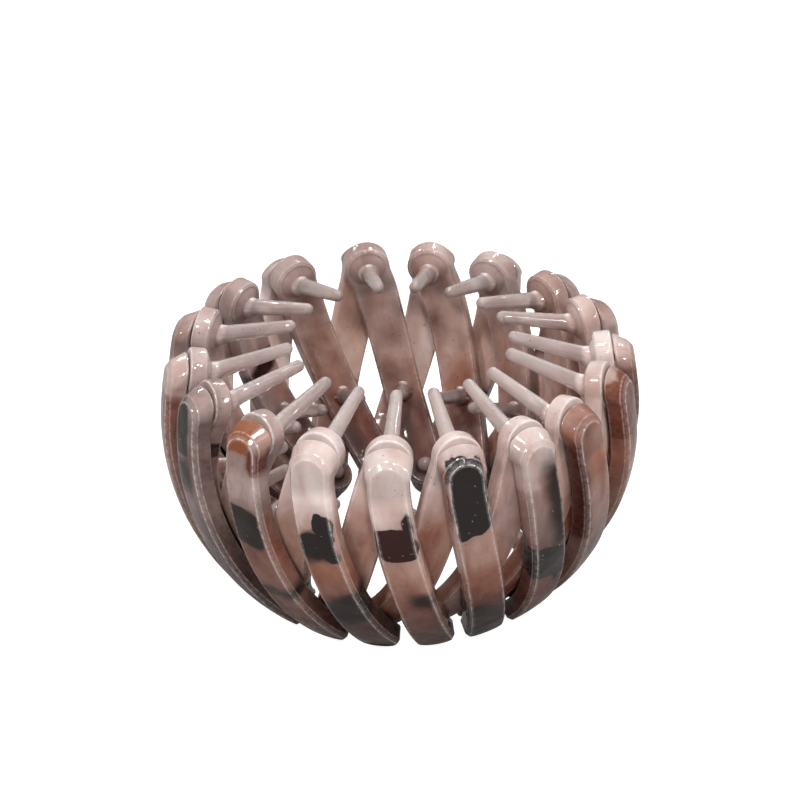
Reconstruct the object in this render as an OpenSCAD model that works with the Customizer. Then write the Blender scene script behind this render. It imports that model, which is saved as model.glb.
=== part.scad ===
// Bird nest hair clip: a bowl of 18 outer strips and 18 inner strips that cross and snap together.
// The axis of the bowl is Z and the strip ends stand on z = 0.

/* [Bowl] */
// Radius of the outer faces of the outer strips
bowl_r = 45; // [40:0.5:50]
// Height angle above the widest place where the arms leave the sphere and run straight up
arm_lat = 8; // [4:1:12]
// Length of the straight arm from the end of the arc to the centre of the top knob
arm_l = 5.6; // [5:0.1:7]
// Height angle of the bend in an outer strip, below the widest place
bend_lat = -6; // [-10:1:-2]
// Height angle of the bottom row of crossings
low_lat = -46.5; // [-50:0.5:-43]
// Where the middle row of crossings lies between the bend and the bottom crossing, as a share
mid_share = 0.445; // [0.35:0.005:0.55]
// Share of a step round the bowl that an outer strip moves over per row, the rest is the inner strip's
outer_share = 0.41; // [0.35:0.01:0.5]
// Where the knobs stand around the bowl, in degrees from +X, a little uneven as the links settle
knob_lon = [2, 24, 42, 62, 81, 100, 123, 144, 164, 188, 207, 229, 248, 267, 285.5, 305, 322, 344]; // [0:1:360]

/* [Layers] */
// Thickness of an outer strip
outer_t = 3.8; // [3:0.1:4.5]
// Thickness of an inner strip
inner_t = 3.3; // [3:0.1:4]
// Running gap between an outer knob and an inner knob
knob_gap = 0.25; // [0.15:0.05:0.5]
// How far the inner strip lies under its own knob face
inner_sink = 0.2; // [0.1:0.05:0.4]
// How far the straight arms stand out from the curved part, as a small step
arm_step = 0.1; // [0.05:0.05:0.2]

/* [Strips] */
// Width of an outer strip
outer_w = 7.6; // [6.5:0.1:9]
// Width and depth of the bevel along the outer face
outer_bevel = [0.6, 0.8]; // [0.2:0.1:1.2]
// Width of an inner strip above the middle crossing
inner_w = 8.0; // [7:0.1:9]
// Width of an inner strip below the middle crossing, where the ends stand close together
inner_low_w = 7.2; // [6.5:0.1:8]
// Small bevel on all the other long edges
edge_bevel = 0.3; // [0.2:0.05:0.5]
// Diameter of the outer knob
outer_knob_d = 8.9; // [8.4:0.1:9.6]
// Height of the face's round top edge over the centre of the outer knob
shoulder_face = 1.0; // [0.5:0.1:2]
// Height of the outer knob's back rim over its centre, where the sloped shoulder ends
shoulder_back = 3.4; // [3:0.1:4]
// Rounding of the knobs where they face each other
knob_rim = 0.45; // [0.3:0.05:0.6]
// Diameter of the inner knob
inner_knob_d = 8.8; // [8.2:0.1:9.4]
// How far the dome of the inner knob stands in from the inner strip
dome_h = 1.1; // [0.8:0.1:1.6]
// Radius of the dome's ball
dome_r = 6.2; // [5.5:0.1:8]

/* [Teeth] */
// Diameter of a tooth at its root
tooth_root_d = 3.3; // [2.8:0.1:3.6]
// Diameter of a tooth at its tip
tooth_tip_d = 2.3; // [1.8:0.1:2.6]
// Extra radius where a tooth leaves the plastic, and the length that it fades over
tooth_flare = [0.5, 2.0]; // [0.2:0.1:3]
// Ring that the tips of the top teeth end on: distance from the axis, height over the widest place
top_tip = [20.2, 15.0]; // [10:0.1:30]
// Ring that the tips of the middle teeth end on
mid_tip = [21.4, -9.2]; // [-30:0.1:30]
// How far the tips lean round the bowl, in degrees
tip_turn = 1.4; // [0:0.1:3]
// Diameter and length of the short bottom pegs
stub = [3.2, 2.4]; // [1:0.1:4]

/* [Snap pins] */
// Diameter of a pin's shank
pin_d = 3.0; // [2.6:0.1:3.4]
// Diameter of a pin's snap head
pin_head_d = 3.7; // [3.4:0.1:4]
// Diameter of the neck that a snap head passes through
neck_d = 3.4; // [3.2:0.1:3.6]
// Diameter of the pocket that the head turns in
pocket_d = 4.1; // [3.9:0.1:4.4]
// Depth of the pockets at the crossings
pocket_deep = 2.5; // [2:0.1:2.8]
// Depth of the pocket in an outer knob, under its sloped shoulder
knob_pocket_deep = 1.5; // [1.3:0.1:1.6]
// Room between a pin's end and the bottom of its pocket
pin_end_gap = 0.25; // [0.15:0.05:0.4]

/* [Hidden] */
$fn = 64;
count = len(knob_lon);
step = 360 / count;

// A strip's round end is this much larger in radius than half its width
end_over = 0.2;

// Radii of the layers, measured from the centre of the bowl
outer_in_r = bowl_r - outer_t;
knob_out_r = outer_in_r - knob_gap;
inner_out_r = knob_out_r - inner_sink;
inner_in_r = inner_out_r - inner_t;

// The lowest points are where the bevel of a round strip end meets the sphere, and they stand on z = 0
rim_r = bowl_r - outer_bevel[1];
end_r = outer_w / 2 + end_over;
slope = outer_bevel[0] / outer_bevel[1];
cone_r = end_r + slope * rim_r;
ridge_q = 1 + slope * slope;
ridge_root = pow(slope * cone_r, 2) - ridge_q * (cone_r * cone_r - bowl_r * bowl_r);
ridge_h = (slope * cone_r + sqrt(ridge_root)) / ridge_q;
ridge_r = cone_r - slope * ridge_h;
centre_z = ridge_h * sin(-low_lat) + ridge_r * cos(low_lat);

// A ball end is this much larger in radius than the rod that it closes
ball_over = 0.04;

// Width of the blocks that waste is cut from, and how far an arm runs into the arc below it
waste_w = 16;
arm_overlap = 0.5;

// How far an outer arm runs past its knob's centre, so that its face reaches the round top edge
arm_past = shoulder_face + 0.3;

// The cone of the sloped shoulder: its centre under the knob's, and its radius lost per millimetre outward
cone_drop = outer_w / 2 - shoulder_face;
cone_slope = (cone_drop + shoulder_back - outer_w / 2) / outer_t;

// Heights in a snap joint: room for the head, the slant that leads to it, and the head's own sizes
head_room = 1.1;
head_lead = 0.2;
head_steps = [0.95, 0.7, 0.5];

// Directions and vectors
function dir(lon, lat) = [cos(lat) * cos(lon), cos(lat) * sin(lon), sin(lat)];
function climb(lon, lat) = [-sin(lat) * cos(lon), -sin(lat) * sin(lon), cos(lat)];
function unit(v) = v / norm(v);
function square_to(v, d) = unit(v - (v * d) * d);
function between(a, b, share) =
    let (angle = acos(a * b)) (a * sin((1 - share) * angle) + b * sin(share * angle)) / sin(angle);
function knob(i) = knob_lon[(i + count) % count] + 360 * floor(i / count);
function drift(i) = knob(i) - step * i;
function knob_at(i, r) = r * dir(knob(i), arm_lat) + arm_l * climb(knob(i), arm_lat);

// Crossings: the bottom row evens out the uneven knobs over seven neighbours
function low_drift(i) = (drift(i - 2) + drift(i - 1) + drift(i) + drift(i + 1) + drift(i + 2) + drift(i + 3)
    + drift(i + 4)) / 7;
function bend(i) = dir(knob(i) + 0.14 * (knob(i + 1) - knob(i)), bend_lat);
function low(i) = dir(step * (i + 2 * outer_share) + low_drift(i), low_lat);
function mid(i) = between(bend(i), low(i), mid_share);

// Feet of the arms, where the arcs begin
function outer_foot(i) = dir(knob(i) + 0.015 * step, arm_lat);
function inner_foot(i) = dir(knob(i) - 0.155 * step, arm_lat);

// Puts X, Y and Z of what follows along three given directions
module frame(x, y, z, at = [0, 0, 0]) {
    multmatrix([
        [x[0], y[0], z[0], at[0]],
        [x[1], y[1], z[1], at[1]],
        [x[2], y[2], z[2], at[2]],
        [0, 0, 0, 1]
    ]) children();
}

// Turns what is drawn so that Z points outward at a crossing and X runs down the strip that comes from before
module at_crossing(p, before) {
    x = -square_to(before, p);
    frame(x, cross(p, x), p) children();
}

// The same at a knob, where the pin's line is square to the straight arm
module at_knob(i) {
    n = dir(knob(i), arm_lat);
    x = climb(knob(i), arm_lat);
    frame(x, cross(n, x), n, arm_l * x) children();
}

// Solid of revolution from radius-height pairs
module lathe(points) {
    rotate_extrude($fn = 96) polygon(points);
}

// Wedge ring along the great circle from direction a to direction b, run on by the angles before and after.
// Its sides and bevels are those of the strip, its inner and outer faces lie clear of the layer by over.
module ring(a, b, before, after, w, r_in, r_out, bevel, over) {
    n = unit(cross(a, b));
    h = w / 2;
    e = edge_bevel;
    k = bevel[0] / bevel[1];
    frame(a, cross(n, a), n)
        rotate([0, 0, -before])
            rotate_extrude(angle = acos(a * b) + before + after, $fn = 180)
                polygon([
                    [r_in - over, e + over - h], [r_in + e, -h],
                    [r_out - bevel[1], -h], [r_out + over, bevel[0] + over * k - h],
                    [r_out + over, h - bevel[0] - over * k], [r_out - bevel[1], h],
                    [r_in + e, h], [r_in - over, h - e - over]
                ]);
}

// The layer that the curved part of a strip is cut from
module layer(r_in, r_out) {
    difference() {
        sphere(r = r_out, $fn = 120);
        sphere(r = r_in, $fn = 120);
    }
}

// What is taken off to leave a round end, drawn in the frame of the bottom crossing
module end_waste(r, r_in, r_out, bevel) {
    k = bevel[0] / bevel[1];
    difference() {
        translate([0.8, -waste_w / 2, r_in - 6]) cube([10, waste_w, r_out - r_in + 10]);
        lathe([
            [0, r_in - 7], [r, r_in - 7], [r, r_out - bevel[1]],
            [r - bevel[0] - k, r_out + 1], [0, r_out + 1]
        ]);
    }
}

// What is taken off above an outer knob: all outside a cone that narrows toward the face, so that the knob
// gets a sloped shoulder and the face a round top edge with a small bevel
module shoulder_waste() {
    face = bowl_r + arm_step;
    foot = outer_in_r - 3;
    edge = face - edge_bevel;
    translate([-cone_drop, 0, 0]) difference() {
        translate([0, -waste_w / 2, outer_in_r - 2]) cube([12, waste_w, outer_t + 4]);
        lathe([
            [0, foot], [outer_w / 2 + cone_slope * (face - foot), foot],
            [outer_w / 2 + cone_slope * edge_bevel, edge],
            [outer_w / 2 + cone_slope * edge_bevel - 2, edge + 2], [0, edge + 2]
        ]);
    }
}

// Straight arm from the foot direction to the knob's centre or past it, its faces square to the normal
module arm(i, foot, normal, w, r_in, r_out, bevel, past = 0) {
    run = knob_at(i, r_in) - r_in * foot;
    d = square_to(run, normal);
    h = w / 2;
    e = edge_bevel;
    lo = r_in + arm_step;
    hi = r_out + arm_step;
    // the section's X is the normal, its Y the width, and Z runs up the arm
    side = cross(d, normal);
    frame(normal, side, d, r_in * (foot * d) * d + r_in * (foot * side) * side)
        translate([0, 0, -arm_overlap]) linear_extrude(norm(run) + arm_overlap + past) polygon([
            [lo, e - h], [lo + e, -h], [hi - bevel[1], -h], [hi, bevel[0] - h],
            [hi, h - bevel[0]], [hi - bevel[1], h], [lo + e, h], [lo, h - e]
        ]);
}

// Snap pocket in an outer strip, and the pin that turns in it, both as deep as given from the inner face
module pocket(deep) {
    mouth = outer_in_r - 2;
    top = outer_in_r + deep;
    lathe([
        [0, mouth], [neck_d / 2, mouth], [neck_d / 2, top - head_room - head_lead],
        [pocket_d / 2, top - head_room], [pocket_d / 2, top], [0, top]
    ]);
}

module pin(deep) {
    root = inner_in_r + 1;
    top = outer_in_r + deep - pin_end_gap;
    lathe([
        [0, root], [pin_d / 2, root], [pin_d / 2, top - head_steps[0]], [pin_head_d / 2, top - head_steps[1]],
        [pin_head_d / 2, top - head_steps[2]], [pin_d / 2, top], [0, top]
    ]);
}

// Tooth from a root point to a tip point, with a small flare where it leaves the plastic
module tooth(root, tip) {
    d = unit(tip - root);
    long = norm(tip - root);
    x = square_to([0, 0, 1], d);
    frame(x, cross(d, x), d, root) lathe([
        [0, 0], [tooth_root_d / 2 + tooth_flare[0], 0], [tooth_root_d / 2, tooth_flare[1]],
        [tooth_tip_d / 2, long - tooth_tip_d / 2], [0, long - tooth_tip_d / 2]
    ]);
    translate(tip - d * (tooth_tip_d / 2 + ball_over)) sphere(r = tooth_tip_d / 2 + ball_over, $fn = 48);
}

module outer_strip(i) {
    color([0.60, 0.47, 0.43]) translate([0, 0, centre_z]) difference() {
        union() {
            difference() {
                intersection() {
                    union() {
                        ring(outer_foot(i), bend(i), 0.2, 0.5, outer_w, outer_in_r, bowl_r, outer_bevel, 0.6);
                        ring(bend(i), low(i), 0.5, 6, outer_w, outer_in_r, bowl_r, outer_bevel, 0.9);
                    }
                    layer(outer_in_r, bowl_r);
                }
                at_crossing(low(i), bend(i)) end_waste(end_r, outer_in_r, bowl_r, outer_bevel);
            }
            arm(i, outer_foot(i), dir(knob(i), arm_lat), outer_w, outer_in_r, bowl_r, outer_bevel, arm_past);
            at_knob(i) lathe([
                [0, outer_in_r], [outer_knob_d / 2 - knob_rim, outer_in_r],
                [outer_knob_d / 2, outer_in_r + knob_rim], [outer_knob_d / 2, rim_r],
                [outer_knob_d / 2 - outer_bevel[0], bowl_r], [0, bowl_r]
            ]);
        }
        at_knob(i) shoulder_waste();
        at_knob(i) pocket(knob_pocket_deep);
        at_crossing(mid(i), bend(i)) pocket(pocket_deep);
        at_crossing(low(i), bend(i)) pocket(pocket_deep);
    }
}

module inner_strip(i) {
    foot = inner_foot(i);
    m = mid(i - 1);
    l = low(i - 2);
    level = unit([m[0], m[1], 0]);
    beside = [-level[1], level[0], 0];
    bevel = [edge_bevel, edge_bevel];
    color([0.72, 0.60, 0.56]) translate([0, 0, centre_z]) union() {
        difference() {
            intersection() {
                union() {
                    ring(foot, m, 0.2, 2.6, inner_w, inner_in_r, inner_out_r, bevel, 0.6);
                    ring(m, l, 0.5, 6, inner_low_w, inner_in_r, inner_out_r, bevel, 0.9);
                }
                layer(inner_in_r, inner_out_r);
            }
            at_crossing(l, m) end_waste(inner_low_w / 2 + end_over, inner_in_r, inner_out_r, bevel);
        }
        arm(i, foot, unit(foot + dir(knob(i), arm_lat)), inner_w, inner_in_r, inner_out_r, bevel);
        // the knob: a round plate with a domed inner face
        at_knob(i) rotate_extrude($fn = 96) intersection() {
            polygon([
                [0, inner_in_r - dome_h - 1], [inner_knob_d / 2, inner_in_r - dome_h - 1],
                [inner_knob_d / 2, knob_out_r - knob_rim], [inner_knob_d / 2 - knob_rim, knob_out_r],
                [0, knob_out_r]
            ]);
            translate([0, inner_in_r - dome_h + dome_r]) circle(r = dome_r, $fn = 96);
        }
        // the snap pins that turn in the outer strips
        at_knob(i) pin(knob_pocket_deep);
        at_crossing(m, foot) pin(pocket_deep);
        at_crossing(l, m) pin(pocket_deep);
        // the two long teeth and the short bottom peg
        tooth(knob_at(i, inner_in_r), top_tip[0] * dir(knob(i) + tip_turn, 0) + [0, 0, top_tip[1]]);
        tooth((inner_in_r + 1) * m, mid_tip[0] * (level + sin(tip_turn) * beside) + [0, 0, mid_tip[1]]);
        at_crossing(l, m) translate([0, 0, inner_in_r - stub[1] + stub[0] / 2]) {
            cylinder(d = stub[0], h = stub[1], $fn = 48);
            sphere(r = stub[0] / 2 + ball_over, $fn = 48);
        }
    }
}

outer_strip(0);  // outer_strip_01
outer_strip(1);  // outer_strip_02
outer_strip(2);  // outer_strip_03
outer_strip(3);  // outer_strip_04
outer_strip(4);  // outer_strip_05
outer_strip(5);  // outer_strip_06
outer_strip(6);  // outer_strip_07
outer_strip(7);  // outer_strip_08
outer_strip(8);  // outer_strip_09
outer_strip(9);  // outer_strip_10
outer_strip(10);  // outer_strip_11
outer_strip(11);  // outer_strip_12
outer_strip(12);  // outer_strip_13
outer_strip(13);  // outer_strip_14
outer_strip(14);  // outer_strip_15
outer_strip(15);  // outer_strip_16
outer_strip(16);  // outer_strip_17
outer_strip(17);  // outer_strip_18
inner_strip(0);  // inner_strip_01
inner_strip(1);  // inner_strip_02
inner_strip(2);  // inner_strip_03
inner_strip(3);  // inner_strip_04
inner_strip(4);  // inner_strip_05
inner_strip(5);  // inner_strip_06
inner_strip(6);  // inner_strip_07
inner_strip(7);  // inner_strip_08
inner_strip(8);  // inner_strip_09
inner_strip(9);  // inner_strip_10
inner_strip(10);  // inner_strip_11
inner_strip(11);  // inner_strip_12
inner_strip(12);  // inner_strip_13
inner_strip(13);  // inner_strip_14
inner_strip(14);  // inner_strip_15
inner_strip(15);  // inner_strip_16
inner_strip(16);  // inner_strip_17
inner_strip(17);  // inner_strip_18
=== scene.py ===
# %% [markdown]
# # Bird nest hair clip
# The real clip is a ring of eighteen outer and eighteen inner strips of swirled translucent plastic.
# Every outer strip snaps onto three pins of the inner strips behind it, and long teeth point into the
# bowl to hold a hair bun. The CAD model fixes where each strip lies. Here each strip is made again as a
# smooth moulding, with rounded edges and flared teeth, and gets its swirled colour.

# %% Load the frame
import bmesh
import bpy
import numpy as np
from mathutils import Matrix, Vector


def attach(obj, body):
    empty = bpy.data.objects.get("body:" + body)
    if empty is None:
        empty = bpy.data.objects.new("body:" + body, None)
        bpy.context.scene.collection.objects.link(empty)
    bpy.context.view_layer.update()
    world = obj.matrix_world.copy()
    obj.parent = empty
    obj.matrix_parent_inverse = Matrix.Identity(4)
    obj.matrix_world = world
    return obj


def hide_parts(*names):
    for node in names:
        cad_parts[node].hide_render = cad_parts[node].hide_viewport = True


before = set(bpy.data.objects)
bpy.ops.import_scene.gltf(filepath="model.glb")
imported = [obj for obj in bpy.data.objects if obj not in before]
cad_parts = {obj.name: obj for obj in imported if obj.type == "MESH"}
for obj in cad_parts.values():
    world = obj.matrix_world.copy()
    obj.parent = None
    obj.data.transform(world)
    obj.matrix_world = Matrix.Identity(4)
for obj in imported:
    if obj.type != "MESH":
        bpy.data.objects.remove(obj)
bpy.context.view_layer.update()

# %% [markdown]
# ## Sizes
# All lengths are in millimetres until a mesh is made, and all angles in degrees. A layer of strips lies
# between two spheres round the bowl's centre, r_in and r_out. The other numbers of a layer are the width
# of its strips at the top and at the low end, the knob's diameter, and the length of the round low end.

# %% Sizes of the bowl and its strips
MM = 0.001
COUNT = 18
STEP = 360.0 / COUNT
BOWL_R = 45.0
# height angles of the straight arm with the knob, of the bend below it, and of the bottom row of pins
ARM_LAT, BEND_LAT, LOW_LAT = 8.0, -6.0, -46.5
ARM_L = 5.6
# where the strips cross on the way from bend to bottom, and how far the bottom row is turned
MID_SHARE = 0.445
OUTER_SHARE = 0.41
KNOB_LON = np.array([2, 24, 42, 62, 81, 100, 123, 144, 164, 188, 207, 229, 248, 267, 285.5, 305, 322, 344])
OUTER = dict(r_in=41.2, r_out=45.0, w_top=7.6, w_low=7.6, knob_d=8.9, end_r=4.0)
INNER = dict(r_in=37.45, r_out=40.75, w_top=8.0, w_low=7.2, knob_d=8.8, end_r=3.8)
# how far the top of a strip stands over the middle of its knob, at the outer face and at the back
SHOULDER_FACE, SHOULDER_BACK = 1.0, 3.4
# inner knob: its flat outer face, the pole of its domed inner face, and the ball that the dome is part of
KNOB_FACE_R, DOME_POLE_R, DOME_BALL_R = 40.95, 36.35, 6.2
# tips of the upper and the middle teeth: distance from the bowl's axis, and height over its centre
TOP_TIP, MID_TIP = (20.2, 15.0), (21.4, -9.2)
TIP_TURN = 1.4
POCKET_DEEP, KNOB_POCKET_DEEP = 2.5, 1.5
BEVEL = (0.6, 0.8)
print(2 * COUNT, "strips on spheres of", OUTER["r_out"], "and", INNER["r_out"], "mm")

# %% [markdown]
# ## Where the floor is
# The bevel of a round strip end is part of a cone whose axis is the end's pin. Cone and sphere meet in a
# sharp ridge, and the clip stands on the lowest places of these ridges. So the height of the bowl's
# centre follows from the sizes above, and isn't a number of its own.

# %% Height of the bowl's centre
# the ridge is h along the pin's axis, where (CONE_R - SLOPE * h)^2 + h^2 = BOWL_R^2
SLOPE = BEVEL[0] / BEVEL[1]
CONE_R = OUTER["end_r"] + SLOPE * (BOWL_R - BEVEL[1])
RIDGE_Q = 1 + SLOPE ** 2
RIDGE_H = (SLOPE * CONE_R
           + np.sqrt((SLOPE * CONE_R) ** 2 - RIDGE_Q * (CONE_R ** 2 - BOWL_R ** 2))) / RIDGE_Q
CENTRE_Z = (RIDGE_H * np.sin(np.radians(-LOW_LAT))
            + (CONE_R - SLOPE * RIDGE_H) * np.cos(np.radians(LOW_LAT)))
print(f"centre of the bowl at {CENTRE_Z:.2f} mm above the floor")

# %% [markdown]
# ## Directions and crossings
# A place on the bowl is a direction from its centre, given by a longitude and a height angle. Such a
# direction could also be a rotation matrix, but a plain vector is easier to mix and to print. The knobs
# stand a little unevenly, as in the photo, and the bottom row evens that out over seven neighbours.

# %% Direction helpers
def unit(v):
    """A vector, or rows of vectors, divided by their length."""
    v = np.asarray(v, float)
    return v / np.linalg.norm(v, axis=-1, keepdims=True)


def direction(lon, lat):
    """Unit vector at a longitude and a height angle: (cos lat cos lon, cos lat sin lon, sin lat)."""
    lon, lat = np.radians(lon), np.radians(lat)
    return np.stack([np.cos(lat) * np.cos(lon), np.cos(lat) * np.sin(lon), np.sin(lat) + 0 * lon], axis=-1)


def climb(lon, lat):
    """Unit vector that points up the sphere at a place: direction's derivative by the height angle."""
    lon, lat = np.radians(lon), np.radians(lat)
    return np.stack([-np.sin(lat) * np.cos(lon), -np.sin(lat) * np.sin(lon), np.cos(lat) + 0 * lon],
                    axis=-1)


def between(a, b, share):
    """Point on the great circle from a to b: both mixed by sines of the remaining and passed angle."""
    angle = np.arccos(a @ b)
    share = np.asarray(share, float)[..., None]
    return (a * np.sin((1 - share) * angle) + b * np.sin(share * angle)) / np.sin(angle)


print("front of the bowl:", direction(270.0, 0.0).round(3))

# %% The crossings of the strips
# the bend is turned from its knob by this share of the way to the next knob
BEND_TURN = 0.14
# the bottom row takes the mean drift of these neighbours
EVENED = range(-2, 5)


def knob(i):
    """Longitude of the knob of strip i, which may run past a full turn."""
    return KNOB_LON[i % COUNT] + 360.0 * (i // COUNT)


def drift(i):
    """How far knob i stands from its place in an even ring, in degrees."""
    return knob(i) - STEP * i


def bend(i):
    """Direction of the place where outer strip i leaves its straight arm."""
    return direction(knob(i) + BEND_TURN * (knob(i + 1) - knob(i)), BEND_LAT)


def low(i):
    """Direction of the bottom crossing of outer strip i with inner strip i + 2."""
    return direction(STEP * (i + 2 * OUTER_SHARE) + np.mean([drift(i + k) for k in EVENED]), LOW_LAT)


def mid(i):
    """Direction of the middle crossing of outer strip i with inner strip i + 1."""
    return between(bend(i), low(i), MID_SHARE)


print("first strip: bend", bend(0).round(3), "middle", mid(0).round(3), "bottom", low(0).round(3))

# %% [markdown]
# ## The line that a strip follows
# A strip is a bar bent along the sphere, with a straight arm at the top. Its middle line is two great
# circles and the arm. A moulding has no sharp kink, so the line is smoothed over a few millimetres by a
# running mean. With the line come a normal, which points out of the bowl, and an across direction.

# %% Middle line of a strip
LINE_STEP = 0.25
SMOOTH_OVER = 4.0
RUN_ON = 6.0


def running_mean(rows, half):
    """Rows averaged over 2 * half + 1 neighbours, with both ends run on in a straight line."""
    first = rows[0] + (rows[0] - rows[1]) * np.arange(half, 0, -1)[:, None]
    last = rows[-1] + (rows[-1] - rows[-2]) * np.arange(1, half + 1)[:, None]
    wide = np.concatenate([first, rows, last])
    kernel = np.ones(2 * half + 1) / (2 * half + 1)
    return np.stack([np.convolve(wide[:, k], kernel, "valid") for k in range(rows.shape[1])], axis=1)


def strip_line(corners, i, r_ref):
    """Rows along a strip, from above the knob to past its low end: distance s from the knob's centre,
    point p, normal n, across direction a, and c, how much of the sphere's curve the place has (0 on the
    arm, 1 below it). The arm is a straight line, each great circle is cut into equal steps, and then both
    are smoothed."""
    foot = corners[0]
    knob_at = r_ref * direction(knob(i), ARM_LAT) + ARM_L * climb(knob(i), ARM_LAT)
    arm = knob_at - r_ref * foot
    length = np.linalg.norm(arm)
    t = np.arange(length + RUN_ON, 0, -LINE_STEP)[:, None] / length
    points = [r_ref * foot + t * arm]
    normals = [np.repeat(direction(knob(i), ARM_LAT)[None], len(t), axis=0)]
    curved = [np.zeros(len(t))]
    for n, (a, b) in enumerate(zip(corners[:-1], corners[1:])):
        arc = r_ref * np.arccos(a @ b)
        end = arc + (RUN_ON if n == len(corners) - 2 else 0)
        c = between(a, b, np.arange(0, end, LINE_STEP) / arc)
        points.append(r_ref * c)
        normals.append(c)
        curved.append(np.ones(len(c)))
    points, normals, curved = np.concatenate(points), np.concatenate(normals), np.concatenate(curved)
    half = int(SMOOTH_OVER / LINE_STEP / 2)
    p = running_mean(points, half)
    # the running mean pulls a curved line inward by a hair, so the sphere part is put back on its radius
    p = np.where(curved[:, None] > 0.5, p * r_ref / np.linalg.norm(p, axis=1, keepdims=True), p)
    normals = unit(running_mean(normals, half))
    across = unit(np.cross(normals, unit(np.gradient(p, axis=0))))
    walked = np.concatenate([[0], np.cumsum(np.linalg.norm(np.diff(p, axis=0), axis=1))])
    zero = walked[np.argmin(np.linalg.norm(p - knob_at, axis=1))]
    curve = running_mean(curved[:, None], half)[:, 0]
    return dict(s=walked - zero, p=p, n=normals, a=across, c=curve, r_ref=r_ref)


print("a strip's line is smoothed over", SMOOTH_OVER, "mm")

# %% Places on a strip
def on_line(line, name, s):
    """Rows of one of the line's quantities at distances s, by straight interpolation."""
    rows = line[name]
    if rows.ndim == 1:
        return np.interp(s, line["s"], rows)
    return np.stack([np.interp(s, line["s"], rows[:, k]) for k in range(3)], axis=-1)


def place(line, s, u, r):
    """Point at s along a strip, u across it and r from the bowl's centre: the line's point, r - r_ref out
    along the normal and u across, less the sphere's fall-off r - sqrt(r^2 - u^2) where it is curved."""
    fall = np.sqrt(r ** 2 - u ** 2) - r
    out = on_line(line, "p", s)
    out = out + (r - line["r_ref"] + on_line(line, "c", s) * fall)[..., None] * on_line(line, "n", s)
    return out + u[..., None] * on_line(line, "a", s)


def nearest_s(line, point):
    """Distance along the line of its place nearest to a direction, for crossings and low ends."""
    return line["s"][np.argmin(np.linalg.norm(line["p"] - line["r_ref"] * point, axis=1))]


# the top of each line is turned from its knob by a share of a step, and the line lies in mid layer
OUTER_LEAN, INNER_LEAN = 0.015, -0.155
OUTER_MID_R, INNER_MID_R = 43.1, 39.1


def outer_line(i):
    """Middle line of outer strip i: from its knob over the bend to its own bottom crossing."""
    corners = [direction(knob(i) + OUTER_LEAN * STEP, ARM_LAT), bend(i), low(i)]
    return strip_line(corners, i, OUTER_MID_R)


def inner_line(i):
    """Middle line of inner strip i: from its knob over its pins for the two next outer strips."""
    corners = [direction(knob(i) + INNER_LEAN * STEP, ARM_LAT), mid(i - 1), low(i - 2)]
    return strip_line(corners, i, INNER_MID_R)


print("length of the first outer strip's line:", round(float(np.ptp(outer_line(0)["s"])), 1), "mm")

# %% [markdown]
# ## A rounded bar from one surface
# Seen from outside, a strip is a disc for the knob, a long bar, and a round low end. A loop runs once
# round that outline. The whole bar is then one grid: the loop's points in one direction, and in the other
# the way from the middle of the outer face, over the bevel, down the side and back to the middle of the
# inner face. Above an outer knob the plastic slopes back in a round shoulder. It is a cone that narrows
# toward the face, so the loop is cut at each height by a circle of that height's radius.

# %% The shoulder's cone, and how soft the creases are
CONE_DROP = OUTER["w_top"] / 2 - SHOULDER_FACE
CONE_SLOPE = (CONE_DROP + SHOULDER_BACK - OUTER["w_top"] / 2) / (OUTER["r_out"] - OUTER["r_in"])
# from here down, the loop's points are spread evenly
JOIN_S = 3.2
TOP_SOFT, KNOB_SOFT, ARCH_SOFT = 0.1, 0.3, 0.25
# below its middle the arch widens by this much per mm, so that it soon leaves the bar alone
ARCH_FLARE = 1.5
# a bar grows out of its knob over FADE_IN, tapers from TAPER_FROM, and ends its taper before the low end
FADE_IN, TAPER_FROM, TAPER_LESS = 2, 8, 12


def smooth_max(a, b, soft):
    """Larger of two lengths with a rounded crease: (a + b + sqrt((a - b)^2 + soft^2)) / 2."""
    return 0.5 * (a + b + np.sqrt((a - b) ** 2 + soft ** 2))


print(f"shoulder: the cone widens by {CONE_SLOPE:.2f} mm for each mm toward the back")

# %% The loop round a strip
def loops(size, s_end, share, r, ends=15, bars=62, low_ends=16):
    """Closed loops (s, u), one row per profile row. Down one side the half width is the smooth maximum of
    the knob's circle sqrt(R^2 - s^2) and the tapered bar, and above an outer knob the smooth minimum of
    that and the cone's circle. The low end is half an ellipse. A row with a smaller share is drawn in to
    the middle."""
    half_top, half_low = size["w_top"] / 2, size["w_low"] / 2
    share, r = share[:, None], r[:, None]
    disc = size["knob_d"] / 2 * share
    top = -disc
    if size is OUTER:
        cone = half_top * share + CONE_SLOPE * (size["r_out"] - r)
        top = smooth_max(-disc, CONE_DROP - cone, TOP_SOFT)
    turn = np.linspace(0, np.pi / 2, ends)[None]
    s_side = np.repeat(np.linspace(JOIN_S, s_end, bars)[None, 1:], len(share), axis=0)
    s = np.concatenate([top + (JOIN_S - top) * (1 - np.cos(turn)), s_side], axis=1)
    taper = half_top + (half_low - half_top) * np.clip((s - TAPER_FROM) / (s_end - TAPER_LESS), 0, 1)
    bar = taper * share * np.clip((s + FADE_IN) / FADE_IN, 0, 1)
    half = smooth_max(np.sqrt(np.maximum(disc ** 2 - s ** 2, 0)), bar, KNOB_SOFT * share)
    if size is OUTER:
        past = s - CONE_DROP
        arch = np.where(past < 0, np.sqrt(np.maximum(cone ** 2 - past ** 2, 0)), cone + ARCH_FLARE * past)
        half = np.maximum(-smooth_max(-half, -arch, ARCH_SOFT * share), 0)
    half[:, 0] = 0
    turn = np.linspace(np.pi / 2, -np.pi / 2, low_ends)[None, 1:-1]
    end_s = s_end + size["end_r"] * share * np.cos(turn)
    end_u = half_low * share * np.sin(turn)
    return (np.concatenate([s, end_s, s[:, :0:-1]], axis=1),
            np.concatenate([half, end_u, -half[:, :0:-1]], axis=1))


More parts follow.
